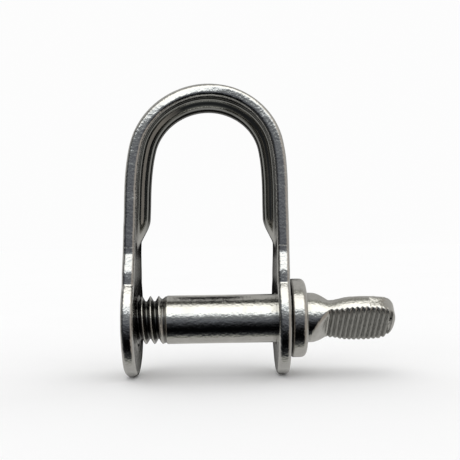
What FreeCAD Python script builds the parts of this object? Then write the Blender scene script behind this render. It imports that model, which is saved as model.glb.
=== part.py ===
import FreeCAD, Part
import Sketcher
import math
import os

# Strip D shackle with a screw pin, in millimetres: a bent strip body and its pin.
# Frame: origin on the pin's axis, midway between the two lugs.
# +X runs along the pin towards its head, +Z up to the crown of the bow.

Vector = FreeCAD.Vector
os.makedirs("parts", exist_ok=True)
doc = FreeCAD.newDocument("strip_shackle")

# ---------------------------------------------------------------- dimensions
DIMENSIONS = [
    # bent strip; a level is a height above the pin's axis
    ("inner_width", 11.2),          # clear gap between the lugs
    ("strip_thickness", 1.0),
    ("strip_width", 5.7),
    ("crown_inner_radius", 5.25),
    ("crown_top_height", 19.15),    # pin axis to the outside of the crown
    ("shoulder_radius", 18.6),      # large inner radius between crown and leg
    ("lug_radius", 4.6),
    ("neck_radius", 2.0),           # concave radius between strip and lug
    ("outline_margin", 2.0),        # cutting frame beyond lug and crown
    ("edge_round", 0.25),
    ("bead_height", 0.95),          # stiffening bead pressed inwards
    ("bead_half_width", 1.9),
    ("bead_top_share", 0.63),       # share of the crest arc in the bead profile
    ("bead_closing_depth", 0.3),    # from the strip's face to the section's closing line
    ("bead_full_level", 8.35),      # the bead is full above this level
    ("bead_end_level", 5.55),
    ("tapped_hole", 4.1),           # lug on the -X side
    ("clearance_hole", 4.22),       # lug on the +X side
    # shank and thread; a level is a distance from the origin along X
    ("pin_diameter", 4.0),
    ("thread_diameter", 3.96),
    ("thread_pitch", 0.7),
    ("thread_depth", 0.43),
    ("thread_crest_width", 0.09),
    ("thread_sink", 0.05),          # the ridge's foot below the core's surface
    ("thread_length", 3.35),        # from the tip to the shank's shoulder
    ("thread_phase", 2.44),         # a crest on the +Z side at -X, inside the shank
    ("shoulder_bevel", 0.1),
    ("swell_level", 5.4),           # the shank swells slightly to the collar
    ("neck_diameter", 4.1),
    ("tip_level", 6.6),             # on the -X side, flush with the lug
    ("tip_bevel", 0.42),
    ("tip_trim_margin", 0.6),       # the trim reaches this far outside the thread
    # collar and flattened head
    ("collar_level", 6.95),         # inner face of the collar
    ("collar_thickness", 1.25),
    ("collar_diameter", 6.5),
    ("collar_round", 0.38),
    ("neck_end", 8.95),             # round neck ends, flattening starts
    ("flat_start", 10.2),
    ("head_middle", 12.5),
    ("head_end", 15.65),
    ("neck_half_thickness", 1.9),
    ("head_half_thickness", 0.82),
    ("head_half_width_in", 2.02),
    ("head_half_width_mid", 2.3),
    ("head_half_width_out", 1.99),
    ("head_end_radius", 2.25),
    ("head_end_margin", 1.0),       # end cut beyond the head
    ("head_cut_length", 8.0),       # full reach of the cuts across the head
    ("head_round", 0.2),
    ("head_roll", 50.0),            # degrees the head is turned about the pin's axis
    ("serration_pitch", 0.5),
    ("serration_width_share", 0.9), # groove width over pitch
    ("serration_depth", 0.17),
    ("serration_lift", 0.04),       # the cut's open side above the flat
    ("serration_count", 10),
    ("serration_start", 10.42),
]
size = dict(DIMENSIONS)
sheet = doc.addObject("Spreadsheet::Sheet", "Dims")
for row, (alias, value) in enumerate(DIMENSIONS, 1):
    sheet.set(f"A{row}", alias)
    sheet.set(f"B{row}", str(value))
    sheet.setAlias(f"B{row}", alias)
doc.recompute()


# ------------------------------------------------------------ shared helpers
# Constraints refer to geometry by index, -1 and -2 being the sketch's axes,
# and to points as 1 start, 2 end, 3 centre; (-1, 1) is the origin.
def origin_feature(body, role):
    return next(f for f in body.Origin.OriginFeatures if f.Role == role)


def new_sketch(body, name, role, offset=FreeCAD.Placement()):
    sketch = body.newObject("Sketcher::SketchObject", name)
    sketch.AttachmentSupport = [(origin_feature(body, role), "")]
    sketch.MapMode = "FlatFace"
    sketch.AttachmentOffset = offset
    return sketch


def constrain(sketch, *constraints):
    for constraint in constraints:
        sketch.addConstraint(Sketcher.Constraint(*constraint))


def bind(sketch, name, expression, *constraint):
    """Add a named dimension, given with its value, and drive it by the expression."""
    index = sketch.addConstraint(Sketcher.Constraint(*constraint))
    sketch.renameConstraint(index, name)
    sketch.setExpression("Constraints." + name, expression)


def close_loop(sketch, first, count):
    """Join each of the edges from first on to the next, and the last to the first."""
    for i in range(count):
        constrain(sketch, ("Coincident", first + i, 2, first + (i + 1) % count, 1))


def line(x0, y0, x1, y1):
    return Part.LineSegment(Vector(x0, y0, 0), Vector(x1, y1, 0))


def polygon(points):
    return [line(*point, *points[(i + 1) % len(points)]) for i, point in enumerate(points)]


def arc(x, y, radius, start, end):
    circle = Part.Circle(Vector(x, y, 0), Vector(0, 0, 1), radius)
    return Part.ArcOfCircle(circle, start, end)


def settle(step):
    """Recompute, and stop if any object failed."""
    doc.recompute()
    for item in doc.Objects:
        bad = [state for state in item.State if state in ("Invalid", "Error")]
        if bad:
            raise RuntimeError(f"{step}: {item.Name} is {bad}")


# ============================================================== shackle body
half_gap = size["inner_width"] / 2
thickness = size["strip_thickness"]
crown_radius = size["crown_inner_radius"]
shoulder_radius = size["shoulder_radius"]
lug_radius = size["lug_radius"]
crown_top = size["crown_top_height"]

# Crown arc centred on the Z axis, tangent to the shoulder arc, tangent to the leg.
crown_z = crown_top - thickness - crown_radius
shoulder_x = half_gap - shoulder_radius
shoulder_z = crown_z - math.sqrt((shoulder_radius - crown_radius) ** 2 - shoulder_x ** 2)
junction = math.atan2(crown_z - shoulder_z, -shoulder_x)


def bent_strip(body):
    """Both legs and the crown, as wide as the lugs."""
    sketch = new_sketch(body, "strip_half", "XZ_Plane")
    outer_x = half_gap + thickness
    sketch.addGeometry([
        arc(0, crown_z, crown_radius, junction, math.pi / 2),
        arc(shoulder_x, shoulder_z, shoulder_radius, 0, junction),
        line(half_gap, shoulder_z, half_gap, -lug_radius),
        line(half_gap, -lug_radius, outer_x, -lug_radius),
        line(outer_x, -lug_radius, outer_x, shoulder_z),
        arc(shoulder_x, shoulder_z, shoulder_radius + thickness, 0, junction),
        arc(0, crown_z, crown_radius + thickness, junction, math.pi / 2),
        line(0, crown_top, 0, crown_top - thickness),
    ], False)
    constrain(
        sketch,
        ("Tangent", 0, 1, 1, 2),
        ("Tangent", 1, 1, 2, 1),
        ("Coincident", 2, 2, 3, 1),
        ("Coincident", 3, 2, 4, 1),
        ("Tangent", 4, 2, 5, 1),
        ("Tangent", 5, 2, 6, 1),
        ("Coincident", 6, 2, 7, 1),
        ("Coincident", 7, 2, 0, 2),
        ("Coincident", 0, 3, 6, 3),
        ("Coincident", 1, 3, 5, 3),
        ("PointOnObject", 0, 3, -2),
        ("PointOnObject", 7, 1, -2),
        ("PointOnObject", 7, 2, -2),
        ("Vertical", 2),
        ("Vertical", 4),
        ("Horizontal", 3))
    bind(sketch, "crown", "Dims.crown_inner_radius", "Radius", 0, crown_radius)
    bind(sketch, "shoulder", "Dims.shoulder_radius", "Radius", 1, shoulder_radius)
    bind(sketch, "half_gap", "Dims.inner_width / 2", "DistanceX", -1, 1, 2, 2, half_gap)
    bind(sketch, "thickness", "Dims.strip_thickness", "DistanceX", 3, 1, 3, 2, thickness)
    bind(sketch, "lug", "Dims.lug_radius", "DistanceY", 2, 2, -1, 1, lug_radius)
    bind(sketch, "height", "Dims.crown_top_height", "DistanceY", -1, 1, 7, 1, crown_top)

    pad = body.newObject("PartDesign::Pad", "strip_pad")
    pad.Profile = sketch
    pad.SideType = "Symmetric"
    pad.setExpression("Length", "2 * Dims.lug_radius")
    settle("strip")

    mirrored = body.newObject("PartDesign::Mirrored", "strip_both")
    mirrored.Originals = [pad]
    mirrored.MirrorPlane = (origin_feature(body, "YZ_Plane"), [""])
    body.Tip = mirrored
    settle("strip mirror")
    assert mirrored.Shape.Volume > 1.98 * pad.Shape.Volume
    return mirrored


def outline_cut(body, strip):
    """Cut away what lies outside the outline of strip and lugs, seen along X."""
    half_width = size["strip_width"] / 2
    neck = size["neck_radius"]
    margin = size["outline_margin"]
    neck_y = half_width + neck
    neck_z = math.sqrt((lug_radius + neck) ** 2 - neck_y ** 2)
    touch = math.atan2(neck_z, neck_y)
    frame_side = lug_radius + margin
    frame_top = crown_top + margin
    outline_top = crown_top + margin / 2
    sketch = new_sketch(body, "outline", "YZ_Plane")
    sketch.addGeometry([
        arc(0, 0, lug_radius, math.pi - touch, 2 * math.pi + touch),
        arc(neck_y, neck_z, neck, math.pi, math.pi + touch),
        line(half_width, neck_z, half_width, outline_top),
        line(half_width, outline_top, -half_width, outline_top),
        line(-half_width, outline_top, -half_width, neck_z),
        arc(-neck_y, neck_z, neck, -touch, 0),
        # edges 6 to 9: the frame
        *polygon([(-frame_side, -frame_side), (frame_side, -frame_side),
                  (frame_side, frame_top), (-frame_side, frame_top)]),
    ], False)
    constrain(
        sketch,
        ("Coincident", 0, 3, -1, 1),
        ("Tangent", 0, 2, 1, 2),
        ("Tangent", 1, 1, 2, 1),
        ("Coincident", 2, 2, 3, 1),
        ("Coincident", 3, 2, 4, 1),
        ("Tangent", 4, 2, 5, 2),
        ("Tangent", 5, 1, 0, 1),
        ("Vertical", 2),
        ("Vertical", 4),
        ("Equal", 1, 5),
        ("Symmetric", 2, 2, 3, 2, -2))
    close_loop(sketch, 6, 4)
    constrain(sketch, ("Horizontal", 6), ("Vertical", 7), ("Horizontal", 8), ("Vertical", 9))
    bind(sketch, "lug", "Dims.lug_radius", "Radius", 0, lug_radius)
    bind(sketch, "neck", "Dims.neck_radius", "Radius", 1, neck)
    bind(sketch, "width", "Dims.strip_width", "DistanceX", 3, 2, 3, 1, 2 * half_width)
    bind(sketch, "top", "Dims.crown_top_height + Dims.outline_margin / 2",
         "DistanceY", -1, 1, 3, 1, outline_top)
    side = "Dims.lug_radius + Dims.outline_margin"
    bind(sketch, "frame_right", side, "DistanceX", -1, 1, 6, 2, frame_side)
    bind(sketch, "frame_left", side, "DistanceX", 6, 1, -1, 1, frame_side)
    bind(sketch, "frame_low", side, "DistanceY", 6, 1, -1, 1, frame_side)
    bind(sketch, "frame_high", "Dims.crown_top_height + Dims.outline_margin",
         "DistanceY", -1, 1, 8, 1, frame_top)
    cut = body.newObject("PartDesign::Pocket", "outline_cut")
    cut.Profile = sketch
    cut.SideType = "Symmetric"
    cut.setExpression("Length", "2 * Dims.inner_width")
    settle("outline")
    assert cut.Shape.Volume < 0.9 * strip.Shape.Volume
    return cut


def is_cut_side(face):
    """Whether a face was made by the outline: flat facing Y, or round about X."""
    surface = face.Surface
    return (isinstance(surface, Part.Plane) and abs(surface.Axis.y) > 0.999
            or isinstance(surface, Part.Cylinder) and abs(surface.Axis.x) > 0.999)


def round_edges(body, cut):
    """Round the strip's long edges, where one cut side meets a face of the strip."""
    shape = cut.Shape
    picked = [f"Edge{i}" for i, edge in enumerate(shape.Edges, 1)
              if sum(map(is_cut_side, shape.ancestorsOfType(edge, Part.Face))) == 1]
    fillet = body.newObject("PartDesign::Fillet", "blank_edges")
    fillet.Base = (cut, picked)
    fillet.setExpression("Radius", "Dims.edge_round")
    settle("edges")
    assert fillet.Shape.Volume < shape.Volume
    return fillet


def lug_hole(body, previous, name, alias, towards_head):
    """Hole through one lug; a pocket on the YZ plane runs to -X unless reversed."""
    sketch = new_sketch(body, name + "_sketch", "YZ_Plane")
    circle = Part.Circle(Vector(0, 0, 0), Vector(0, 0, 1), size[alias] / 2)
    sketch.addGeometry(circle, False)
    constrain(sketch, ("Coincident", 0, 3, -1, 1))
    bind(sketch, "hole", "Dims." + alias, "Diameter", 0, size[alias])
    hole = body.newObject("PartDesign::Pocket", name)
    hole.Profile = sketch
    hole.setExpression("Length", "Dims.inner_width")
    hole.Reversed = towards_head
    settle(name)
    assert previous.Shape.Volume - hole.Shape.Volume > 0.5
    return hole


# Sections of the bead's fade: share of the way from the full level to the end
# level, share of the full height, share of the full half width.
BEAD_FADE = [
    (0.0, 1.0, 1.0),
    (0.25, 0.855, 0.985),
    (0.5, 0.5, 0.93),
    (0.75, 0.15, 0.82),
    (1.0, 0.012, 0.66),
]


def bead_section(body, name, step, outer):
    """Level section of the bead: two concave arcs and a crest arc, all tangent.

    The outer section is the groove that leaves the bead as thick as the strip.
    """
    way, height_share, width_share = step
    height = size["bead_height"] * height_share
    width = size["bead_half_width"] * width_share
    arc_sum = (width ** 2 + height ** 2) / (2 * height)
    crest = size["bead_top_share"] * arc_sum
    concave = arc_sum - crest
    face = half_gap
    if outer:
        crest -= thickness
        concave += thickness
        face += thickness
    angle = math.atan2(width, arc_sum - height)
    # closing line: inside the metal for the crest, outside it for the groove
    closing = face + size["bead_closing_depth"]
    crest_x = face - height + crest
    concave_x = face - concave

    full_level = size["bead_full_level"]
    level = full_level + (size["bead_end_level"] - full_level) * way
    sketch = new_sketch(body, name, "XY_Plane",
                        FreeCAD.Placement(Vector(0, 0, level), FreeCAD.Rotation()))
    sketch.setExpression(
        ".AttachmentOffset.Base.z",
        f"Dims.bead_full_level + (Dims.bead_end_level - Dims.bead_full_level) * {way:g}")
    sketch.addGeometry([
        line(closing, width, face, width),
        arc(concave_x, width, concave, -angle, 0),
        arc(crest_x, 0, crest, math.pi - angle, math.pi + angle),
        arc(concave_x, -width, concave, 0, angle),
        line(face, -width, closing, -width),
        line(closing, -width, closing, width),
    ], False)
    constrain(
        sketch,
        ("Coincident", 0, 2, 1, 2),
        ("Tangent", 1, 1, 2, 1),
        ("Tangent", 2, 2, 3, 2),
        ("Coincident", 3, 1, 4, 1),
        ("Coincident", 4, 2, 5, 1),
        ("Coincident", 5, 2, 0, 1),
        ("Horizontal", 0),
        ("Horizontal", 4),
        ("Vertical", 5),
        ("PointOnObject", 2, 3, -1),
        ("Symmetric", 1, 2, 3, 1, -1),
        ("Horizontal", 1, 3, 1, 2),     # the concave arc starts along the face
        ("Equal", 1, 3))
    height_expr = f"(Dims.bead_height * {height_share:.6f})"
    width_expr = f"(Dims.bead_half_width * {width_share:.6f})"
    crest_expr = (f"Dims.bead_top_share * (({width_expr} * {width_expr}"
                  f" + {height_expr} * {height_expr}) / (2 * {height_expr}))")
    face_expr = "Dims.inner_width / 2"
    if outer:
        crest_expr += " - Dims.strip_thickness"
        face_expr += " + Dims.strip_thickness"
    bind(sketch, "face", face_expr, "DistanceX", -1, 1, 0, 2, face)
    bind(sketch, "closing", face_expr + " + Dims.bead_closing_depth",
         "DistanceX", -1, 1, 0, 1, closing)
    bind(sketch, "half_width", width_expr, "DistanceY", -1, 1, 0, 2, width)
    bind(sketch, "crest", crest_expr, "Radius", 2, crest)
    bind(sketch, "crest_centre", f"{face_expr} - {height_expr} + {crest_expr}",
         "DistanceX", -1, 1, 2, 3, crest_x)
    return sketch


def bead_path(body):
    """Inner face of the strip from the bead's full level to the middle of the crown."""
    full_level = size["bead_full_level"]
    path = new_sketch(body, "bead_path", "XZ_Plane")
    path.addGeometry([
        line(half_gap, full_level, half_gap, shoulder_z),
        arc(shoulder_x, shoulder_z, shoulder_radius, 0, junction),
        arc(0, crown_z, crown_radius, junction, math.pi / 2),
    ], False)
    constrain(
        path,
        ("Tangent", 0, 2, 1, 1),
        ("Tangent", 1, 2, 2, 1),
        ("Vertical", 0),
        ("PointOnObject", 2, 3, -2),
        ("PointOnObject", 2, 2, -2))
    bind(path, "crown", "Dims.crown_inner_radius", "Radius", 2, crown_radius)
    bind(path, "shoulder", "Dims.shoulder_radius", "Radius", 1, shoulder_radius)
    bind(path, "half_gap", "Dims.inner_width / 2", "DistanceX", -1, 1, 0, 1, half_gap)
    bind(path, "level", "Dims.bead_full_level", "DistanceY", -1, 1, 0, 1, full_level)
    bind(path, "height", "Dims.crown_top_height - Dims.strip_thickness",
         "DistanceY", -1, 1, 2, 2, crown_top - thickness)
    return path


def stiffening_bead(body):
    """Crest on the inside, groove of the same sheet outside, on both legs."""
    path = bead_path(body)
    features = []
    for tag, kind, outer in (("crest", "Additive", False), ("groove", "Subtractive", True)):
        sections = [bead_section(body, f"{tag}_section_{i}", step, outer)
                    for i, step in enumerate(BEAD_FADE)]
        settle(tag + " sections")
        pipe = body.newObject(f"PartDesign::{kind}Pipe", tag + "_run")
        pipe.Profile = sections[0]
        pipe.Spine = (path, [])
        settle(tag + " run")
        loft = body.newObject(f"PartDesign::{kind}Loft", tag + "_fade")
        loft.Profile = sections[0]
        loft.Sections = sections[1:]
        settle(tag + " fade")
        features += [pipe, loft]
    mirrored = body.newObject("PartDesign::Mirrored", "bead_both")
    mirrored.Originals = features
    mirrored.MirrorPlane = (origin_feature(body, "YZ_Plane"), [""])
    body.Tip = mirrored
    settle("bead mirror")


def make_shackle_body():
    body = doc.addObject("PartDesign::Body", "shackle_body")
    strip = bent_strip(body)
    cut = outline_cut(body, strip)
    rounded = round_edges(body, cut)
    tapped = lug_hole(body, rounded, "tapped_lug_hole", "tapped_hole", False)
    lug_hole(body, tapped, "plain_lug_hole", "clearance_hole", True)
    stiffening_bead(body)
    return body


# ================================================================= screw pin
tip_x = -size["tip_level"]
thread_radius = size["thread_diameter"] / 2
core_radius = thread_radius - size["thread_depth"]
collar_radius = size["collar_diameter"] / 2


def turned_pin(pin):
    """Core, shank, collar and round neck, with the collar's rims rounded."""
    pin_radius = size["pin_diameter"] / 2
    neck_radius = size["neck_diameter"] / 2
    bevel = size["shoulder_bevel"]
    shank_x = tip_x + size["thread_length"]
    swell_x = size["swell_level"]
    collar_x = size["collar_level"]
    collar_end = collar_x + size["collar_thickness"]
    neck_end = size["neck_end"]
    points = [      # position along X, radius
        (tip_x, 0), (tip_x, core_radius),
        (shank_x, core_radius), (shank_x, pin_radius - bevel),
        (shank_x + bevel, pin_radius), (swell_x, pin_radius),
        (collar_x, neck_radius), (collar_x, collar_radius),
        (collar_end, collar_radius), (collar_end, neck_radius),
        (neck_end, neck_radius), (neck_end, 0),
    ]
    sketch = new_sketch(pin, "pin_profile", "XZ_Plane")
    sketch.addGeometry(polygon(points), False)
    close_loop(sketch, 0, len(points))
    constrain(sketch, *(("Vertical", i) for i in (0, 2, 6, 8, 10)))
    constrain(sketch, *(("Horizontal", i) for i in (1, 4, 7, 9)))
    constrain(sketch, ("PointOnObject", 0, 1, -1), ("PointOnObject", 11, 1, -1))
    bind(sketch, "tip", "Dims.tip_level", "DistanceX", 0, 1, -1, 1, -tip_x)
    bind(sketch, "core_r", "Dims.thread_diameter / 2 - Dims.thread_depth",
         "DistanceY", -1, 1, 0, 2, core_radius)
    bind(sketch, "thread_l", "Dims.thread_length", "DistanceX", 1, 1, 1, 2, shank_x - tip_x)
    bind(sketch, "shoulder_x", "Dims.shoulder_bevel", "DistanceX", 3, 1, 3, 2, bevel)
    bind(sketch, "shoulder_y", "Dims.shoulder_bevel", "DistanceY", 3, 1, 3, 2, bevel)
    bind(sketch, "pin_r", "Dims.pin_diameter / 2", "DistanceY", -1, 1, 4, 1, pin_radius)
    bind(sketch, "swell_x", "Dims.swell_level", "DistanceX", -1, 1, 4, 2, swell_x)
    bind(sketch, "collar_x", "Dims.collar_level", "DistanceX", -1, 1, 6, 1, collar_x)
    bind(sketch, "under_r", "Dims.neck_diameter / 2", "DistanceY", -1, 1, 6, 1, neck_radius)
    bind(sketch, "collar_r", "Dims.collar_diameter / 2",
         "DistanceY", -1, 1, 7, 1, collar_radius)
    bind(sketch, "collar_t", "Dims.collar_thickness",
         "DistanceX", 7, 1, 7, 2, collar_end - collar_x)
    bind(sketch, "neck_r", "Dims.neck_diameter / 2", "DistanceY", -1, 1, 9, 1, neck_radius)
    bind(sketch, "neck_x", "Dims.neck_end", "DistanceX", -1, 1, 10, 1, neck_end)
    turned = pin.newObject("PartDesign::Revolution", "pin_turned")
    turned.Profile = sketch
    turned.ReferenceAxis = (origin_feature(pin, "X_Axis"), [""])
    turned.Angle = 360
    settle("pin turned")

    rims = [f"Edge{i}" for i, edge in enumerate(turned.Shape.Edges, 1)
            if isinstance(edge.Curve, Part.Circle)
            and abs(edge.Curve.Radius - collar_radius) < 1e-4]
    fillet = pin.newObject("PartDesign::Fillet", "collar_rims")
    fillet.Base = (turned, rims)
    fillet.setExpression("Radius", "Dims.collar_round")
    settle("collar")


# Head sections: sketch name, then the aliases of the level along X, of the round
# side's size with the factor that makes it a radius, and of the half thickness.
HEAD_SECTIONS = [
    ("neck_section", "neck_end", "neck_diameter", 0.5, "neck_half_thickness"),
    ("flat_in_section", "flat_start", "head_half_width_in", 1, "head_half_thickness"),
    ("flat_mid_section", "head_middle", "head_half_width_mid", 1, "head_half_thickness"),
    ("flat_out_section", "head_end", "head_half_width_out", 1, "head_half_thickness"),
]


def head_section(pin, name, level, round_size, factor, thickness_alias):
    """A circle cut off by two parallel flats, turned by the head's roll."""
    radius = size[round_size] * factor
    half = size[thickness_alias]
    turn = FreeCAD.Rotation(Vector(0, 0, 1), 90 + size["head_roll"])
    sketch = new_sketch(pin, name, "YZ_Plane",
                        FreeCAD.Placement(Vector(0, 0, size[level]), turn))
    sketch.setExpression(".AttachmentOffset.Base.z", "Dims." + level)
    sketch.setExpression(".AttachmentOffset.Rotation.Angle", "90 + Dims.head_roll")
    angle = math.asin(half / radius)
    flat = radius * math.cos(angle)
    sketch.addGeometry([
        line(flat, half, -flat, half),
        arc(0, 0, radius, math.pi - angle, math.pi + angle),
        line(-flat, -half, flat, -half),
        arc(0, 0, radius, -angle, angle),
    ], False)
    close_loop(sketch, 0, 4)
    constrain(
        sketch,
        ("Coincident", 1, 3, -1, 1),
        ("Coincident", 3, 3, -1, 1),
        ("Horizontal", 0),
        ("Horizontal", 2))
    bind(sketch, "half_width", f"Dims.{round_size} * {factor}", "Radius", 1, radius)
    bind(sketch, "upper", "Dims." + thickness_alias, "DistanceY", -1, 1, 0, 1, half)
    bind(sketch, "lower", "Dims." + thickness_alias, "DistanceY", 2, 1, -1, 1, half)
    return sketch


def flattened_head(pin):
    """Ramps from the neck down to two flats, then the flat head."""
    sections = [head_section(pin, *row) for row in HEAD_SECTIONS]
    for name, used in (("ramp", sections[:2]), ("flat_head", sections[1:])):
        loft = pin.newObject("PartDesign::AdditiveLoft", name)
        loft.Profile = used[0]
        loft.Sections = used[1:]
        loft.Ruled = True
        settle(name)
    return loft


def rolled_sketch(pin, name, extra_turn):
    """Sketch on a plane through the X axis, turned with the head."""
    turn = FreeCAD.Rotation(Vector(1, 0, 0), extra_turn + size["head_roll"])
    sketch = new_sketch(pin, name, "XZ_Plane", FreeCAD.Placement(Vector(0, 0, 0), turn))
    sketch.setExpression(".AttachmentOffset.Rotation.Angle",
                         f"{extra_turn} + Dims.head_roll")
    return sketch


def head_end(pin, head):
    """Round the head's end in the plane of its flats, then round the end's rim."""
    radius = size["head_end_radius"]
    end_x = size["head_end"]
    centre_x = end_x - radius
    frame_x = end_x + size["head_end_margin"]
    frame_half = radius + size["head_end_margin"]
    sketch = rolled_sketch(pin, "head_end_outline", 0)
    sketch.addGeometry([
        arc(centre_x, 0, radius, -math.pi / 2, math.pi / 2),
        line(centre_x, radius, frame_x, frame_half),
        line(frame_x, frame_half, frame_x, -frame_half),
        line(frame_x, -frame_half, centre_x, -radius),
    ], False)
    close_loop(sketch, 0, 4)
    constrain(
        sketch,
        ("Vertical", 0, 3, 0, 2),
        ("Vertical", 0, 3, 0, 1),
        ("PointOnObject", 0, 3, -1),
        ("Symmetric", 2, 1, 2, 2, -1))
    bind(sketch, "end_radius", "Dims.head_end_radius", "Radius", 0, radius)
    bind(sketch, "centre", "Dims.head_end - Dims.head_end_radius",
         "DistanceX", -1, 1, 0, 3, centre_x)
    bind(sketch, "frame", "Dims.head_end + Dims.head_end_margin",
         "DistanceX", -1, 1, 2, 1, frame_x)
    bind(sketch, "half", "Dims.head_end_radius + Dims.head_end_margin",
         "DistanceY", -1, 1, 2, 1, frame_half)
    cut = pin.newObject("PartDesign::Pocket", "head_end_cut")
    cut.Profile = sketch
    cut.SideType = "Symmetric"
    cut.setExpression("Length", "Dims.head_cut_length")
    settle("head end")
    assert cut.Shape.Volume < head.Shape.Volume - 0.05

    # the rim's edges lie wholly near the end, clear of the head's sides
    rim = []
    for i, edge in enumerate(cut.Shape.Edges, 1):
        box = edge.BoundBox
        middle = edge.valueAt((edge.FirstParameter + edge.LastParameter) / 2)
        if middle.x > end_x - 0.6 and box.XMax <= end_x + 0.05 and box.XMin > centre_x + 0.3:
            rim.append(f"Edge{i}")
    fillet = pin.newObject("PartDesign::Fillet", "head_rim")
    fillet.Base = (cut, rim)
    fillet.setExpression("Radius", "Dims.head_round")
    settle("head rim")


def serrations(pin):
    """V grooves across both flats, repeated along the head."""
    start = size["serration_start"]
    half_width = size["serration_pitch"] * size["serration_width_share"] / 2
    root = size["head_half_thickness"] - size["serration_depth"]
    mouth = size["head_half_thickness"] + size["serration_lift"]
    sketch = rolled_sketch(pin, "serration_profile", 90)
    for sign in (1, -1):
        sketch.addGeometry(polygon([(start - half_width, sign * mouth),
                                    (start, sign * root),
                                    (start + half_width, sign * mouth)]), False)
    for first, tag in ((0, "a"), (3, "b")):
        close_loop(sketch, first, 3)
        constrain(sketch, ("Horizontal", first + 2), ("Equal", first, first + 1))
        bind(sketch, "start_" + tag, "Dims.serration_start",
             "DistanceX", -1, 1, first, 2, start)
        bind(sketch, "width_" + tag, "Dims.serration_pitch * Dims.serration_width_share",
             "DistanceX", first, 1, first + 1, 2, 2 * half_width)
        for name, point, height, expression in (
                ("root_", (first, 2), root, "Dims.head_half_thickness - Dims.serration_depth"),
                ("open_", (first, 1), mouth, "Dims.head_half_thickness + Dims.serration_lift")):
            # a distance is measured upwards, so below the axis the ends swap
            ends = (-1, 1, *point) if tag == "a" else (*point, -1, 1)
            bind(sketch, name + tag, expression, "DistanceY", *ends, height)
    groove = pin.newObject("PartDesign::Pocket", "serration")
    groove.Profile = sketch
    groove.SideType = "Symmetric"
    groove.setExpression("Length", "Dims.head_cut_length")
    settle("serration")
    pattern = pin.newObject("PartDesign::LinearPattern", "serrations")
    pattern.Originals = [groove]
    pattern.Direction = (origin_feature(pin, "X_Axis"), [""])
    pattern.setExpression("Length", "Dims.serration_pitch * (Dims.serration_count - 1)")
    pattern.setExpression("Occurrences", "Dims.serration_count")
    pin.Tip = pattern
    settle("serrations")
    assert pattern.Shape.Volume < groove.Shape.Volume - 0.1
    return pattern


def screw_thread(pin, previous):
    """Right-hand 60 degree ridge, wound from inside the shank to beyond the tip."""
    half_crest = size["thread_crest_width"] / 2
    ridge_height = size["thread_depth"] + size["thread_sink"]
    half_foot = half_crest + ridge_height * math.tan(math.radians(30))
    foot_radius = thread_radius - ridge_height
    start_x = -size["thread_phase"]
    sketch = new_sketch(pin, "thread_profile", "XZ_Plane")
    sketch.addGeometry(polygon([
        (start_x - half_foot, foot_radius), (start_x - half_crest, thread_radius),
        (start_x + half_crest, thread_radius), (start_x + half_foot, foot_radius),
    ]), False)
    close_loop(sketch, 0, 4)
    constrain(sketch, ("Horizontal", 1), ("Horizontal", 3), ("Equal", 0, 2))
    bind(sketch, "crest_r", "Dims.thread_diameter / 2",
         "DistanceY", -1, 1, 1, 1, thread_radius)
    bind(sketch, "foot_r", "Dims.thread_diameter / 2 - Dims.thread_depth - Dims.thread_sink",
         "DistanceY", -1, 1, 0, 1, foot_radius)
    bind(sketch, "crest_w", "Dims.thread_crest_width",
         "DistanceX", 1, 1, 1, 2, 2 * half_crest)
    bind(sketch, "foot_w",
         "Dims.thread_crest_width + 2 * (Dims.thread_depth + Dims.thread_sink) * tan(30 deg)",
         "DistanceX", 3, 2, 3, 1, 2 * half_foot)
    bind(sketch, "place", "Dims.thread_phase - Dims.thread_crest_width / 2",
         "DistanceX", 1, 2, -1, 1, -(start_x + half_crest))
    thread = pin.newObject("PartDesign::AdditiveHelix", "thread")
    thread.Profile = sketch
    thread.ReferenceAxis = (origin_feature(pin, "X_Axis"), [""])
    thread.Mode = "pitch-height-angle"
    thread.setExpression("Pitch", "Dims.thread_pitch")
    thread.setExpression("Height", "Dims.tip_level - Dims.thread_phase + Dims.thread_pitch")
    thread.LeftHanded = False
    thread.Reversed = True
    settle("thread")
    assert thread.Shape.Volume > previous.Shape.Volume + 3.0
    return thread


def trim_tip(pin, thread):
    """Cut the thread off square at the tip and bevel it at 45 degrees."""
    flat_radius = thread_radius - size["tip_bevel"]
    slope = size["tip_bevel"] + size["tip_trim_margin"]
    outer_radius = flat_radius + slope
    reach = 2 * size["thread_pitch"]
    sketch = new_sketch(pin, "tip_trim", "XZ_Plane")
    sketch.addGeometry(polygon([
        (tip_x - reach, 0), (tip_x, 0), (tip_x, flat_radius),
        (tip_x + slope, outer_radius), (tip_x - reach, outer_radius),
    ]), False)
    close_loop(sketch, 0, 5)
    constrain(
        sketch,
        ("PointOnObject", 0, 1, -1),
        ("PointOnObject", 0, 2, -1),
        ("Vertical", 1),
        ("Horizontal", 3),
        ("Vertical", 4))
    bind(sketch, "tip", "Dims.tip_level", "DistanceX", 0, 2, -1, 1, -tip_x)
    bind(sketch, "flat_r", "Dims.thread_diameter / 2 - Dims.tip_bevel",
         "DistanceY", 1, 1, 1, 2, flat_radius)
    slope_expr = "Dims.tip_bevel + Dims.tip_trim_margin"
    bind(sketch, "slope_x", slope_expr, "DistanceX", 2, 1, 2, 2, slope)
    bind(sketch, "slope_y", slope_expr, "DistanceY", 2, 1, 2, 2, slope)
    bind(sketch, "reach", "2 * Dims.thread_pitch", "DistanceX", 0, 1, 0, 2, reach)
    groove = pin.newObject("PartDesign::Groove", "tip_bevelled")
    groove.Profile = sketch
    groove.ReferenceAxis = (origin_feature(pin, "X_Axis"), [""])
    groove.Angle = 360
    settle("tip")
    assert groove.Shape.Volume < thread.Shape.Volume - 0.5


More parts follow.
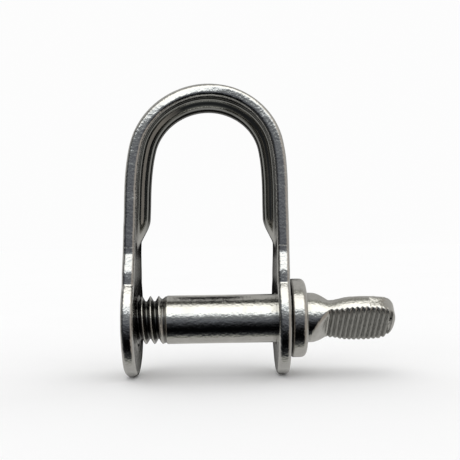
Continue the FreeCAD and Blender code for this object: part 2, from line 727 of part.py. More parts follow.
def make_screw_pin():
    pin = doc.addObject("PartDesign::Body", "screw_pin")
    turned_pin(pin)
    head = flattened_head(pin)
    head_end(pin, head)
    serrated = serrations(pin)
    thread = screw_thread(pin, serrated)
    trim_tip(pin, thread)
    return pin


# ==================================================================== export
pieces = [make_shackle_body(), make_screw_pin()]
settle("export")
for piece in pieces:
    shape = piece.Shape
    if shape.isNull() or not shape.isValid():
        raise RuntimeError(piece.Label + " has no valid shape")
    if len(shape.Solids) != 1:
        raise RuntimeError(f"{piece.Label} has {len(shape.Solids)} solids")
    shape.exportStep(f"parts/{piece.Label}.step")
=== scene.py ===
import math

import bpy
import bmesh
import numpy as np
from mathutils import Matrix, Quaternion, Vector


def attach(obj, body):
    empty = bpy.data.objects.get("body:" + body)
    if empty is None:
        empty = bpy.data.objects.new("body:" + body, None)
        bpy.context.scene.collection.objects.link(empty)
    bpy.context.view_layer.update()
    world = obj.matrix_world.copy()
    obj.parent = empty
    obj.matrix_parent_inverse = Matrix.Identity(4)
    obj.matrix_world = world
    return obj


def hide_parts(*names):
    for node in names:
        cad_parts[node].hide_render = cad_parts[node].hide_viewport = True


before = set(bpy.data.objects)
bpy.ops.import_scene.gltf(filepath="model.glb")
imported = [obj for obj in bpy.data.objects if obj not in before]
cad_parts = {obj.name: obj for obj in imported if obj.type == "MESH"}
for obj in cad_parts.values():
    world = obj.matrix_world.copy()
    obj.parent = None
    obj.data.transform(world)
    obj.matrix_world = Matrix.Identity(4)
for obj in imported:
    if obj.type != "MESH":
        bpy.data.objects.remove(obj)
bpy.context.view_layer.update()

MM = 0.001
TAU = 2.0 * math.pi

# ------------------------------------------------------------------ sizes, mm
HALF_IN = 5.6          # half the gap between the lugs
T = 1.0                # strip thickness
R_IN = 5.25            # crown, inside
R_SH = 18.6            # shoulders, inside
Z_TOP = 19.15
Z_C = Z_TOP - T - R_IN
OFF = R_SH - HALF_IN
Z_S = Z_C - math.sqrt((R_SH - R_IN) ** 2 - OFF ** 2)
JUNCTION = math.atan2(Z_C - Z_S, OFF)
B = 2.84               # half the strip's width
R_LUG = 4.6
LEAN = 0.027           # the bow stands a touch off square to the pin
EDGE = 0.33            # rounding of the blanked edges
BEAD_H = 0.95
BEAD_W = 1.9
BEAD_SHARE = 0.63
BEAD_FULL = 8.35
BEAD_END = 5.55
Z_JOIN = 6.0
PITCH = 0.7
CREST_R = 1.98
THREAD_DEPTH = 0.43
CREST_TOP_X = -4.62    # a crest on the upper side of the pin
ROLL = math.radians(50.0)


# ------------------------------------------------------------- seeded noise
class Noise:
    def __init__(self, seed, n=48):
        self.n = n
        self.g = np.random.RandomState(seed).uniform(-1.0, 1.0, (n, n, n))

    def __call__(self, p, cell):
        q = np.asarray(p, float) / cell + 1000.0
        i = np.floor(q).astype(int)
        f = q - i
        f = f * f * f * (f * (f * 6 - 15) + 10)
        n = self.n
        out = 0.0
        for dx in (0, 1):
            wx = f[:, 0] if dx else 1 - f[:, 0]
            for dy in (0, 1):
                wy = f[:, 1] if dy else 1 - f[:, 1]
                for dz in (0, 1):
                    wz = f[:, 2] if dz else 1 - f[:, 2]
                    out = out + wx * wy * wz * self.g[
                        (i[:, 0] + dx) % n, (i[:, 1] + dy) % n,
                        (i[:, 2] + dz) % n]
        return out


# ------------------------------------------------------------- mesh collector
class Builder:
    def __init__(self):
        self.v, self.f, self.a = [], [], {}
        self.count = 0

    def add(self, pts, faces, **attrs):
        pts = np.asarray(pts, float).reshape(-1, 3)
        self.v.append(pts)
        for fc in faces:
            self.f.append(np.asarray(fc, int) + self.count)
        for k in set(self.a) | set(attrs):
            old = self.a.setdefault(k, [np.zeros(self.count)])
            val = attrs.get(k, 0.0)
            old.append(np.broadcast_to(np.asarray(val, float).ravel(),
                                       (len(pts),)).copy()
                       if np.size(val) in (1, len(pts))
                       else np.asarray(val, float).ravel())
        self.count += len(pts)

    def grid(self, pts, wrap=False, flip=False, **attrs):
        """pts is rows x columns x 3"""
        r, c = pts.shape[:2]
        idx = np.arange(r * c).reshape(r, c)
        nxt = np.roll(idx, -1, axis=1) if wrap else None
        if wrap:
            a, b = idx[:-1], nxt[:-1]
            d, e = idx[1:], nxt[1:]
        else:
            a, b = idx[:-1, :-1], idx[:-1, 1:]
            d, e = idx[1:, :-1], idx[1:, 1:]
        q = np.stack([a, b, e, d], -1).reshape(-1, 4)
        if flip:
            q = q[:, ::-1]
        self.add(pts.reshape(-1, 3), [q], **attrs)

    def fan(self, ring, centre, flip=False, **attrs):
        n = len(ring)
        pts = np.vstack([ring, [centre]])
        i = np.arange(n)
        t = np.stack([i, (i + 1) % n, np.full(n, n)], -1)
        if flip:
            t = t[:, ::-1]
        self.add(pts, [t], **attrs)

    def weld(self, tol=1e-5):
        v = np.vstack(self.v)
        key = np.floor(v / tol + 0.37).astype(np.int64)
        _, first, inv = np.unique(key, axis=0, return_index=True,
                                  return_inverse=True)
        inv = np.asarray(inv).ravel()
        attrs = {}
        for k, parts in self.a.items():
            full = np.concatenate(parts)
            out = np.full(len(first), -1e9)
            np.maximum.at(out, inv, full)
            attrs[k] = out
        faces = []
        for f in self.f:
            g = inv[f]
            ok = np.ones(len(g), bool)
            for a in range(g.shape[1]):
                for b in range(a + 1, g.shape[1]):
                    ok &= g[:, a] != g[:, b]
            faces.append(g[ok])
            bad = g[~ok]
            if g.shape[1] == 4 and len(bad):
                tris = []
                for q in bad:
                    u = []
                    for x in q:
                        if x not in u:
                            u.append(x)
                    if len(u) == 3:
                        tris.append(u)
                if tris:
                    faces.append(np.array(tris))
        return v[first], faces, attrs

    def make(self, name, shape=None):
        v, faces, attrs = self.weld()
        mesh = bpy.data.meshes.new(name)
        loops = np.concatenate([f.ravel() for f in faces])
        sizes = np.concatenate([np.full(len(f), f.shape[1]) for f in faces])
        starts = np.concatenate([[0], np.cumsum(sizes)[:-1]])
        mesh.vertices.add(len(v))
        mesh.vertices.foreach_set("co", (v * MM).astype(np.float32).ravel())
        mesh.loops.add(len(loops))
        mesh.loops.foreach_set("vertex_index", loops.astype(np.int32))
        mesh.polygons.add(len(sizes))
        mesh.polygons.foreach_set("loop_start", starts.astype(np.int32))
        mesh.update(calc_edges=True)
        mesh.validate()
        for k, val in attrs.items():
            at = mesh.attributes.new(k, "FLOAT", "POINT")
            at.data.foreach_set("value", np.clip(val, 0, 1).astype(np.float32))
        bm = bmesh.new()
        bm.from_mesh(mesh)
        bmesh.ops.recalc_face_normals(bm, faces=bm.faces)
        open_edges = sum(1 for e in bm.edges if not e.is_manifold)
        bm.to_mesh(mesh)
        bm.free()
        print("MESH", name, len(v), "verts", len(sizes), "faces, open edges",
              open_edges)
        if shape is not None:
            n = len(mesh.vertices)
            co = np.zeros(n * 3, np.float32)
            nr = np.zeros(n * 3, np.float32)
            mesh.vertices.foreach_get("co", co)
            mesh.vertex_normals.foreach_get("vector", nr)
            co = co.reshape(-1, 3).astype(float) / MM
            nr = nr.reshape(-1, 3).astype(float)
            masks = {}
            for k in attrs:
                m = np.zeros(n, np.float32)
                mesh.attributes[k].data.foreach_get("value", m)
                masks[k] = m
            co = shape(co, nr, masks)
            mesh.vertices.foreach_set("co", (co * MM).astype(np.float32).ravel())
            mesh.update()
        mesh.shade_smooth()
        ob = bpy.data.objects.new(name, mesh)
        bpy.context.scene.collection.objects.link(ob)
        return ob


def smooth(x, a, b):
    t = np.clip((np.asarray(x, float) - a) / (b - a), 0.0, 1.0)
    return t * t * (3 - 2 * t)


# =============================================================== shackle body
def bead_offset(y, level, outer):
    """how far the sheet stands inward at y, for bead progress at this level"""
    y = np.abs(y)
    f = np.clip((BEAD_FULL - level) / (BEAD_FULL - BEAD_END), 0.0, 1.0)
    kh = 1 - f * f * (3 - 2 * f)
    kw = 1 - 0.34 * f ** 2.2
    h = np.maximum(BEAD_H * kh, 1e-5)
    w = BEAD_W * kw
    s = (w * w + h * h) / (2 * h)
    th = np.arctan2(w, s - h)
    rt = BEAD_SHARE * s
    rf = s - rt
    if outer:
        rt = rt - T
        rf = rf + T
        rt = np.maximum(rt, 0.3)
    edge = rt * np.sin(th)
    top = h - rt + np.sqrt(np.maximum(rt * rt - np.minimum(y, edge) ** 2, 0))
    d = np.clip(w - y, 0, None)
    flank = rf - np.sqrt(np.maximum(rf * rf - np.minimum(d, rf) ** 2, 0))
    out = np.where(y <= edge, top, np.where(y < w, flank, 0.0))
    return np.where(kh <= 1e-6, 0.0, out)


def strip_path():
    """rows along the bent strip's inside, from the right leg over the crown
    to the left leg: x, z, inward normal x, z, level for the bead"""
    rows = []
    for z in np.linspace(Z_JOIN, Z_S, 40)[:-1]:
        rows.append((HALF_IN, z, -1.0, 0.0, z))
    for a in np.linspace(0, JUNCTION, 36)[:-1]:
        rows.append((-OFF + R_SH * math.cos(a), Z_S + R_SH * math.sin(a),
                     -math.cos(a), -math.sin(a), 99.0))
    for a in np.linspace(JUNCTION, math.pi / 2, 72):
        rows.append((R_IN * math.cos(a), Z_C + R_IN * math.sin(a),
                     -math.cos(a), -math.sin(a), 99.0))
    half = np.array(rows)
    # hand-bent shape: fuller shoulders, slightly drawn-in legs
    o = np.interp(half[:, 1], [6, 7, 8.2, 9.8, 11.0, 11.9, 13.4, 15, 16.4,
                               17.5, 18.15],
                  [0, -.005, -.025, -.05, -.03, .01, .08, .11, .085, .03, 0])
    o = np.convolve(np.pad(o, 6, mode="edge"), np.ones(13) / 13.0, "valid")
    o[0] = 0.0
    half[:, 0] -= half[:, 2] * o
    half[:, 1] -= half[:, 3] * o
    other = half[::-1][1:].copy()
    other[:, 0] *= -1
    other[:, 2] *= -1
    return np.vstack([half, other])


COLS = np.linspace(-(B - EDGE), B - EDGE, 61)
ARC = np.linspace(0, math.pi / 2, 7)
SIDE = np.linspace(EDGE, T - EDGE, 6)


def edge_profile():
    """(in-plane offset from the outline, depth from the inner face, mask)"""
    p = [(-EDGE + EDGE * math.sin(a), EDGE - EDGE * math.cos(a),
          0.35 + 0.65 * math.sin(a)) for a in ARC]
    p += [(0.0, d, 1.0) for d in SIDE[1:-1]]
    p += [(-EDGE + EDGE * math.cos(a), T - EDGE + EDGE * math.sin(a),
           0.35 + 0.65 * math.cos(a)) for a in ARC]
    return np.array(p)


def build_body():
    m = Builder()
    path = strip_path()
    prof = edge_profile()
    x, z, nx, nz, lev = path.T

    def place(y, depth):
        """depth is measured outward from the inner face"""
        px = x[:, None] - nx[:, None] * depth
        pz = z[:, None] - nz[:, None] * depth
        return np.stack([px, np.broadcast_to(y, px.shape), pz], -1)

    L = lev[:, None]
    step = np.hypot(np.diff(x), np.diff(z))
    along = np.concatenate([[0.0], np.cumsum(step)])
    along = 0.20 + along[:, None] / 100.0
    # painted shade: mask of the bow's inner faces above about 6 mm, clear of the
    # edges, which darkens their base colour
    inner_shade = smooth(lev, 6.2, 9.0)[:, None] * (1 - smooth(
        np.abs(COLS), 2.3, 2.5))[None, :]
    m.grid(place(COLS[None, :], -bead_offset(COLS[None, :], L, False)),
           edge=0.0, run=along * np.ones(len(COLS)), inner=inner_shade)
    m.grid(place(COLS[None, :], T - bead_offset(COLS[None, :], L, True)),
           edge=0.0, run=along * np.ones(len(COLS)))
    for s in (1, -1):
        yy = s * (B + prof[:, 0])
        m.grid(place(yy[None, :], np.broadcast_to(prof[:, 1], (len(x),
                                                              len(prof)))),
               edge=np.broadcast_to(prof[:, 2], (len(x), len(prof))),
               depth=np.broadcast_to(prof[:, 1], (len(x), len(prof))),
               run=along * np.ones(len(prof)))

    # lugs: outline samples from the join, round the bottom, to the join.
    # The normal's slope is given down the leg; the outline is its integral
    # until it meets the round lug.
    slope_z = [6.0, 5.85, 5.62, 5.45, 4.25, 4.0, 3.5]
    slope_a = [0.0, 0.0, 6.0, 17.0, 17.5, 8.0, 4.0]
    out = [((B, Z_JOIN), (1.0, 0.0))]
    y, dz = B, 0.05
    for k in range(50):
        z1 = Z_JOIN - dz * (k + 1)
        a, a1 = (math.radians(float(np.interp(-q, -np.array(slope_z),
                                              slope_a)))
                 for q in (z1 + 0.5 * dz, z1))
        y += dz * math.tan(a)
        out.append(((y, z1), (math.cos(a1), math.sin(a1))))
    # a tight inside corner where the leg meets the round of the lug
    r_neck = 0.3
    a0 = math.radians(slope_a[-1])
    p0 = np.array(out[-1][0])
    nf = np.array([math.cos(a0), math.sin(a0)])
    df = np.array([math.sin(a0), -math.cos(a0)])
    c0 = p0 + r_neck * nf
    bq = float(c0 @ df)
    cq = float(c0 @ c0) - (R_LUG + r_neck) ** 2
    run = -bq - math.sqrt(max(bq * bq - cq, 0.0))
    cn = c0 + df * run
    touch = math.atan2(cn[1], cn[0])
    z0, y = float(cn[1]), run
    for a in np.linspace(a0, touch, 10)[:-1]:
        n = (math.cos(a), math.sin(a))
        out.append(((cn[0] - r_neck * n[0], cn[1] - r_neck * n[1]), n))
    for a in np.linspace(touch, -math.pi / 2, 110):
        n = (math.cos(a), math.sin(a))
        out.append(((R_LUG * n[0], R_LUG * n[1]), n))
    pts = np.array([o[0] for o in out])
    nrm = np.array([o[1] for o in out])
    pts = np.vstack([pts, (pts * [-1, 1])[::-1][1:]])
    nrm = np.vstack([nrm, (nrm * [-1, 1])[::-1][1:]])
    print("lug meets the flare at", round(math.degrees(touch), 1), z0, y)
    inset = pts - nrm * EDGE

    lug_run = np.concatenate([[0.0], np.cumsum(np.hypot(
        *np.diff(pts, axis=0).T))])[:, None] / 100.0
    for sx in (1, -1):
        yz = pts[:, None, :] + nrm[:, None, :] * prof[None, :, 0, None]
        px = np.broadcast_to(sx * (HALF_IN + prof[:, 1])[None, :],
                             yz.shape[:2])
        m.grid(np.stack([px, yz[..., 0], yz[..., 1]], -1),
               edge=np.broadcast_to(prof[None, :, 2], yz.shape[:2]),
               depth=np.broadcast_to(prof[None, :, 1], yz.shape[:2]),
               run=(0.7 if sx < 0 else 0.0) + lug_run * np.ones(len(prof)))
        # faces: rays from the hole's rim to the inset outline and the join
        ring = np.vstack([inset, np.stack([COLS[1:-1],
                                           np.full(len(COLS) - 2, Z_JOIN)],
                                          -1)])
        ang = np.arctan2(ring[:, 1], ring[:, 0])
        r_rim = 2.17 if sx < 0 else 2.22
        rim = np.stack([np.cos(ang), np.sin(ang)], -1) * r_rim
        k = np.linspace(0, 1, 30)[:, None, None]
        face = rim[None] * (1 - k) + ring[None] * k
        for depth in (0.0, T):
            px = sx * (HALF_IN + depth
                       - bead_offset(face[..., 0], face[..., 1], depth > 0)
                       * (face[..., 1] > BEAD_END))
            m.grid(np.stack([px, face[..., 0], face[..., 1]], -1), wrap=True,
                   edge=0.0)
        # hole wall
        if sx > 0:
            rows = [(r_rim - 0.11 * math.sin(a), 0.11 - 0.11 * math.cos(a))
                    for a in np.linspace(0, math.pi / 2, 6)]
            rows += [(2.11, d) for d in (0.3, 0.5, 0.7)]
            rows += [(r_rim - 0.11 * math.cos(a),
                      T - 0.11 + 0.11 * math.sin(a))
                     for a in np.linspace(0, math.pi / 2, 6)]
            rr = np.array([r for r, d in rows])[:, None] * np.ones(len(ang))
            dd = np.array([d for r, d in rows])[:, None] * np.ones(len(ang))
        else:
            dd = np.linspace(0, T, 46)[:, None] * np.ones(len(ang))
            rr = thread_radius(ang[None, :], -(HALF_IN + dd)) + 0.045
            cham = 2.17 - 1.1 * np.minimum(dd, T - dd)
            rr = np.maximum(rr, cham)
            rr[0] = rr[-1] = r_rim
        wall = np.stack([sx * (HALF_IN + dd), rr * np.cos(ang)[None],
                         rr * np.sin(ang)[None]], -1)
        # painted shade: the left lug's threaded hole wall carries the thread
        # mask, which darkens its base colour
        m.grid(wall, wrap=True, edge=0.0, thread=0.6 if sx < 0 else 0.0)

    n1, n2, n3 = Noise(11), Noise(12), Noise(13)

    def shape(co, nr, masks):
        e = masks["edge"]
        # long soft unevenness of the pressed sheet, more on the sheared edge
        d = 0.0035 * n1(co, 2.6) + 0.0012 * n2(co, 0.9)
        d = d + e * (0.010 * n3(co * [1, 1, 1], 0.95)
                     + 0.0035 * n2(co + 7.3, 0.38))
        # the sheared edge leans a little, differently along the bow
        th = np.degrees(np.arctan2(co[:, 2] - Z_C, -co[:, 0]))
        lean = 0.25 * np.exp(-((th - 72) / 30) ** 2) \
            + 0.10 * np.exp(-((th - 35) / 22) ** 2) \
            + 0.05 * np.exp(-((th - 150) / 26) ** 2)
        lean = lean * (co[:, 2] > Z_S - 3)
        lean = lean + 0.05 * n1(co + 40.0, 3.4) + 0.035 * n2(co + 21.0, 1.1)
        d = d - e * lean * (masks["depth"] - 0.5)
        # nothing moves near the holes or on the inner lug faces
        ax = np.sqrt(co[:, 1] ** 2 + co[:, 2] ** 2)
        keep = smooth(ax, 2.3, 2.9)
        co = co + nr * (d * keep)[:, None]
        over = np.clip(co[:, 2] - 2.0, 0, None)
        co[:, 0] += LEAN * over * over / (over + 2.0)
        down = 1 - smooth(co[:, 2], 4.0, 13.0)
        co[:, 0] += np.where(co[:, 0] > 0, 0.13, -0.03 * keep) * down
        return co

    return m.make("shackle_strip", shape)


# ======================================================================= pin
def thread_radius(theta, x):
    """right-hand thread: the crest moves towards +X as theta grows"""
    u0 = (x - CREST_TOP_X) / PITCH - (theta - math.pi / 2) / TAU
    total = 0.0
    for s in (-0.028, -0.014, 0.0, 0.014, 0.028):
        u = u0 + s / PITCH
        d = np.abs(u - np.round(u)) * PITCH
        cut = np.clip((d - 0.035) / 0.255, 0.0, 1.0)
        total = total + cut
    cut = total / 5.0
    depth = THREAD_DEPTH * (1 - 0.72 * smooth(x, -4.05, -3.3))
    return CREST_R - depth * cut


def rho_head(x):
    xs = [8.3, 8.95, 9.6, 10.15, 10.7, 11.2, 11.9, 12.5, 13.1, 13.5, 14.1,
          14.6, 16.0]
    rs = [2.05, 2.05, 2.03, 2.01, 2.07, 2.16, 2.25, 2.29, 2.28, 2.26, 2.2,
          2.13, 1.9]
    # cosine-free smooth curve through the table
    base = np.interp(x, xs, rs)
    w = 0.0
    for s in np.linspace(-0.35, 0.35, 9):
        w = w + np.interp(x + s, xs, rs)
    return 0.35 * base + 0.65 * w / 9.0 + 0.07 * smooth(x, 10.0, 12.0)


X_END = 15.6
R_END = 2.28
X_PLAN = X_END - R_END


def flat_height(x, ribs=True):
    """half thickness of the head between its flats"""
    h = np.where(x < 9.98,
                 2.2 - (x - 8.6) / (9.98 - 8.6) * (2.2 - 0.82), 0.82)
    h = np.where(x < 8.6, 9.0, h)
    if ribs:
        u = (x - 10.2) / 0.41
        d = np.abs(u - np.round(u)) * 2.0          # 0 in a groove, 1 on a rib
        v = np.clip((d - 0.12) / 0.66, 0, 1)
        on = smooth(x, 10.0, 10.12) * (1 - smooth(x, 15.15, 15.3))
        h = h - 0.14 * (1 - v) * on
    return h


def head_field(x, w, n):
    """signed measure, negative inside the head"""
    k = 0.36
    d1 = np.sqrt(w * w + n * n) - rho_head(x)
    h = flat_height(x)
    smooth_rim = smooth(w, 0.5, 1.3) * (n < 0)
    h = h + (flat_height(x, False) - h) * smooth_rim
    d2 = np.abs(n) - h
    d3 = (np.maximum(x - X_PLAN, 0) ** 2.7 + np.abs(w) ** 2.7) ** (
        1 / 2.7) - R_END
    d3 = np.where(x > X_PLAN, d3, -9.0)
    d1 = np.maximum(d1, d3)
    a = np.maximum(d1 + k, 0)
    b = np.maximum(d2 + k, 0)
    return np.sqrt(a * a + b * b) + np.minimum(
        np.maximum(d1 + k, d2 + k), 0) - k


def build_pin():
    m = Builder()
    K = 288
    th = np.arange(K) * TAU / K
    xs, rr, thr, rib = [], [], [], []

    def ring(x, r, t=0.0, s=0.0):
        xs.append(np.full(K, x) if np.ndim(x) == 0 else x)
        rr.append(np.broadcast_to(r, (K,)).astype(float).copy())
        thr.append(np.full(K, t))
        rib.append(np.full(K, s))

    # tip: turned end face with a bevel, then the thread
    for r in (0.25, 0.6, 0.9, 1.2, 1.38):
        ring(-6.6 - 0.0 * r, r)
    for a in np.linspace(0, math.pi / 2, 5):
        ring(-6.6 + 0.06 - 0.06 * math.cos(a), 1.46 + 0.06 * math.sin(a) - 0.0)
    for x in np.arange(-6.52, -3.2501, 0.0175):
        bevel = 1.53 + (x + 6.54) * 1.05
        r = np.minimum(thread_radius(th, x), bevel)
        # shoulder where the shank starts
        k = smooth(x, -3.36, -3.25)
        r = r * (1 - k) + 1.93 * k
        ring(x, r, 1.0)
        # painted shade mask: stronger deeper in the thread valleys, and at the
        # run-out by the shoulder
        thr[-1] = np.clip((CREST_R - 0.03 - r) / 0.14, 0, 1) * (1 - k)
        thr[-1] = np.maximum(thr[-1], 0.8 * smooth(x, -3.5, -3.42))
    # shank
    for a in np.linspace(0, math.pi / 2, 6):
        ring(-3.25 + 0.08 - 0.08 * math.cos(a), 1.93 + 0.07 * math.sin(a))
    for x in np.linspace(-3.1, 5.3, 70):
        ring(x, 2.0)
    for x in np.linspace(5.4, 6.8, 12):
        ring(x, 2.0 + 0.05 * smooth(x, 5.4, 6.4))
    # fillet into the collar's left face, then the collar
    for a in np.linspace(0, math.pi / 2, 5)[1:]:
        ring(6.83 + 0.12 * math.sin(a), 2.05 + 0.12 - 0.12 * math.cos(a))
    for r in (2.35, 2.6, 2.85, 3.0):
        ring(6.95, r)
    for a in np.linspace(0, math.pi / 2, 8):
        ring(7.15 - 0.2 * math.cos(a), 3.05 + 0.195 * math.sin(a))
    for x in (7.3, 7.42, 7.54, 7.66):
        ring(x, 3.245 + 0.005 * math.sin((x - 7.15) / 0.6 * math.pi))
    for a in np.linspace(0, math.pi / 2, 14):
        ring(7.74 + 0.46 * math.sin(a), 2.785 + 0.46 * math.cos(a))
    for r in (2.6, 2.4, 2.25):
        ring(8.2, r)
    for a in np.linspace(0, math.pi / 2, 6):
        ring(8.32 - 0.12 * math.cos(a), 2.05 + 0.12 - 0.12 * math.sin(a))
    # neck and head: radius along each ray from the axis
    wv = np.array([0.0, -math.sin(ROLL), math.cos(ROLL)])
    nv = np.array([0.0, -math.cos(ROLL), -math.sin(ROLL)])
    dy, dz = np.cos(th), np.sin(th)
    cw = dy * wv[1] + dz * wv[2]
    cn = dy * nv[1] + dz * nv[2]

    def solve(x):
        lo, hi = np.full(K, 0.02), np.full(K, 3.2)
        for _ in range(34):
            mid = 0.5 * (lo + hi)
            inside = head_field(np.full(K, x), mid * cw, mid * cn) < 0
            lo = np.where(inside, mid, lo)
            hi = np.where(inside, hi, mid)
        return 0.5 * (lo + hi)

    last = None
    cuts = list(np.linspace(8.36, 10.2, 56)) + \
        list(np.arange(10.22, 15.3, 0.0225))
    for x in cuts:
        r = solve(x)
        on = smooth(x, 9.98, 10.12) * (1 - smooth(x, 15.2, 15.36))
        flat = np.clip((np.abs(r * cn) - 0.45) / 0.12, 0, 1)
        face = flat * (np.abs(r * cw) < 0.965 * np.abs(
            np.interp(x, [8, 16], [2.1, 2.25])))
        ring(x, r)
        rib[-1] = face * on
        # painted shade mask in the grooves between the head's ribs
        groove = float(flat_height(x, False) - flat_height(x)) / 0.14
        thr[-1] = face * on * groove * 0.62
        last = (x, r)
    # rounded end: shrink the last ring towards the axis along the end surface
    x0, r0 = last
    for q in np.cos(np.linspace(0, math.pi / 2, 30))[1:-1]:
        w, n = q * r0 * cw, q * r0 * cn
        lo, hi = np.full(K, x0 - 0.6), np.full(K, X_END + 0.2)
        for _ in range(34):
            mid = 0.5 * (lo + hi)
            inside = head_field(mid, w, n) < 0
            lo = np.where(inside, mid, lo)
            hi = np.where(inside, hi, mid)
        xs.append(0.5 * (lo + hi))
        rr.append(q * r0)
        thr.append(np.zeros(K))
        rib.append(np.zeros(K))
    X = np.array(xs)
    Rr = np.array(rr)
    pts = np.stack([X, Rr * dy[None], Rr * dz[None]], -1)
    m.grid(pts, wrap=True, thread=np.array(thr), rib=np.array(rib))
    m.fan(pts[0], (-6.6, 0, 0), flip=True, thread=0.0, rib=0.0)
    m.fan(pts[-1], (float(X[-1].mean()) + 0.0, 0, 0), thread=0.0, rib=0.0)

    n1, n2 = Noise(21), Noise(22)

    def shape(co, nr, masks):
        x = co[:, 0]
        head = smooth(x, 8.4, 9.4)
        d = head * (0.012 * n1(co, 1.7) + 0.004 * n2(co, 0.5))
        d = d + masks["rib"] * (0.016 * n2(co + 3.1, 0.33)
                                + 0.008 * n1(co + 9.0, 0.14))
        d = d + smooth(x, 6.9, 7.1) * (1 - head) * 0.006 * n1(co, 1.3)
        co = co + nr * d[:, None]
        co[:, 2] -= 0.13 * smooth(x, 9.0, 11.6)
        # the press leaves a hollow on top where the head begins
        co[:, 2] -= 0.16 * np.exp(-((x - 10.15) / 0.8) ** 2) \
            * smooth(co[:, 2], 0.3, 1.7) * smooth(x, 8.4, 8.9)
        return co

    return m.make("pin_turned", shape)


body_ob = build_body()
pin_ob = build_pin()


# ================================================================== materials
class Nodes:
    def __init__(self, tree):
        self.t = tree
        tree.nodes.clear()

    def n(self, kind, **kw):
        node = self.t.nodes.new(kind)
        for k, v in kw.items():
            setattr(node, k, v)
        return node

    def link(self, a, b):
        self.t.links.new(a, b)

    def val(self, sock, v):
        if hasattr(v, "links"):
            self.link(v, sock)
        else:
            sock.default_value = v

    def math(self, op, a, b=0.0, clamp=False):
        node = self.n("ShaderNodeMath", operation=op, use_clamp=clamp)
        self.val(node.inputs[0], a)
        self.val(node.inputs[1], b)
        return node.outputs[0]

    def noise(self, vec, scale, detail=3.0, rough=0.55, distort=0.0):
        node = self.n("ShaderNodeTexNoise")
        node.inputs["Scale"].default_value = scale
        node.inputs["Detail"].default_value = detail
        node.inputs["Roughness"].default_value = rough
        node.inputs["Distortion"].default_value = distort
        self.link(vec, node.inputs["Vector"])
        return node.outputs["Fac"]

    def remap(self, v, a, b, c, d):
        node = self.n("ShaderNodeMapRange", clamp=True)
        self.val(node.inputs["Value"], v)
        for s, x in zip(("From Min", "From Max", "To Min", "To Max"),
                        (a, b, c, d)):
            node.inputs[s].default_value = x
        return node.outputs["Result"]

    def mix(self, f, a, b):
        node = self.n("ShaderNodeMix", data_type="RGBA")
        self.val(node.inputs[0], f)
        self.val(node.inputs[6], a)
        self.val(node.inputs[7], b)
        return node.outputs[2]

    def attr(self, name):
        node = self.n("ShaderNodeAttribute", attribute_name=name)
        return node.outputs["Fac"]


